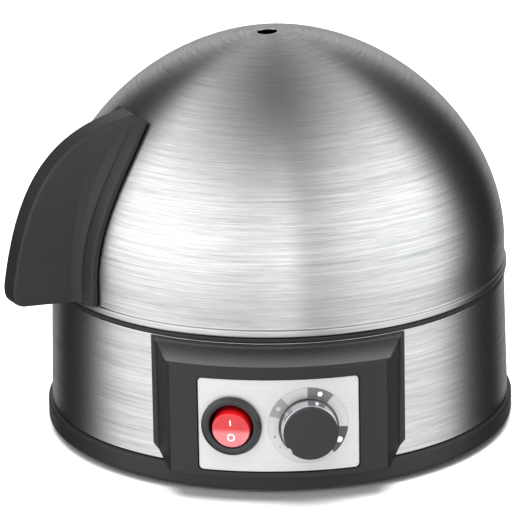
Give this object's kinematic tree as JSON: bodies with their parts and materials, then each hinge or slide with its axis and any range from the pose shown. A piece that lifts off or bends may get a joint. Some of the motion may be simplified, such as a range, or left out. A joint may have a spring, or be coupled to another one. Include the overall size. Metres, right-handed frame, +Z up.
{
  "type": "egg cooker",
  "caption": "Round electric egg cooker: steel-banded base with a front switch and dial, water bowl, egg tray and a lift-off domed steel lid with a side fin handle.",
  "frame": {"origin": "on the body's vertical axis, in the plane that its feet and hub rest on", "axes": "+Z up along the body axis; -Y is the front, with the controls; +X is to the right of someone who faces them"},
  "size_m": [0.1964, 0.2029, 0.1571],
  "materials": {
    "black_plastic": "satin moulded, fine grain",
    "brushed_steel": "stainless, brushed around the axis",
    "polished_steel": "stainless, polished",
    "pan_coating": "dark grey non-stick coating",
    "silver_plate": "silver plate, fine brushing",
    "red_lens": "translucent red, gloss",
    "chrome_trim": "bright plated",
    "rubber": "matte",
    "zinc_steel": "zinc plated",
    "brass": "stamped, bare",
    "element_sheath": "heat-darkened sheath",
    "grey_plastic": "heat-resistant moulding",
    "lamp_glass": "clear neon lamp",
    "brown_insulation": "silicone insulation",
    "blue_insulation": "silicone insulation",
    "earth_insulation": "silicone insulation"
  },
  "bodies": {
    "housing": {"base_cover": "black_plastic", "foot_1": "rubber", "foot_2": "rubber", "foot_3": "rubber", "foot_4": "rubber", "base_screw_1": "zinc_steel", "base_screw_2": "zinc_steel", "base_screw_3": "zinc_steel", "base_screw_4": "zinc_steel", "body_band": "brushed_steel", "top_ring": "black_plastic", "heating_pan": "pan_coating", "heating_element": "element_sheath", "thermostat": "grey_plastic", "thermostat_clip": "zinc_steel", "thermal_fuse": "polished_steel", "control_housing": "black_plastic", "housing_screw_1": "zinc_steel", "housing_screw_2": "zinc_steel", "faceplate": "silver_plate", "switch_housing": "black_plastic", "switch_lamp": "lamp_glass", "switch_tab_1": "brass", "switch_tab_2": "brass", "switch_tab_3": "brass", "regulator_body": "grey_plastic", "regulator_nut": "zinc_steel", "cord_gland": "black_plastic", "terminal_block": "grey_plastic", "wire_supply": "brown_insulation", "wire_switched": "brown_insulation", "wire_regulated": "brown_insulation", "wire_neutral": "blue_insulation", "wire_earth": "earth_insulation"},
    "rocker": {"rocker_button": "red_lens"},
    "knob": {"timer_knob": "black_plastic", "knob_skirt": "chrome_trim", "regulator_shaft": "zinc_steel"},
    "lid": {"lid_dome": "brushed_steel", "lid_handle": "black_plastic", "handle_screw_1": "zinc_steel", "handle_screw_2": "zinc_steel", "handle_washer_1": "zinc_steel", "handle_washer_2": "zinc_steel"},
    "tray": {"egg_tray": "polished_steel", "tray_grip_1": "black_plastic", "tray_grip_2": "black_plastic"}
  },
  "joints": [
    {"name": "lid_lift", "type": "slide", "parent": "housing", "child": "lid", "axis": [0, 0, 1], "range_m": [0, 0.18]},
    {"name": "tray_lift", "type": "slide", "parent": "housing", "child": "tray", "axis": [0, 0, 1], "range_m": [0, 0.03]},
    {"name": "switch_rock", "type": "hinge", "parent": "housing", "child": "rocker", "pos_m": [-0.01691, -0.09572, 0.03145], "axis": [-0.9848, 0.174, 0], "range_deg": [0, 20]},
    {"name": "knob_turn", "type": "hinge", "parent": "housing", "child": "knob", "pos_m": [0.01093, -0.0994, 0.03145], "axis": [-0.1093, 0.994, 0], "range_deg": [0, 270]}
  ]
}
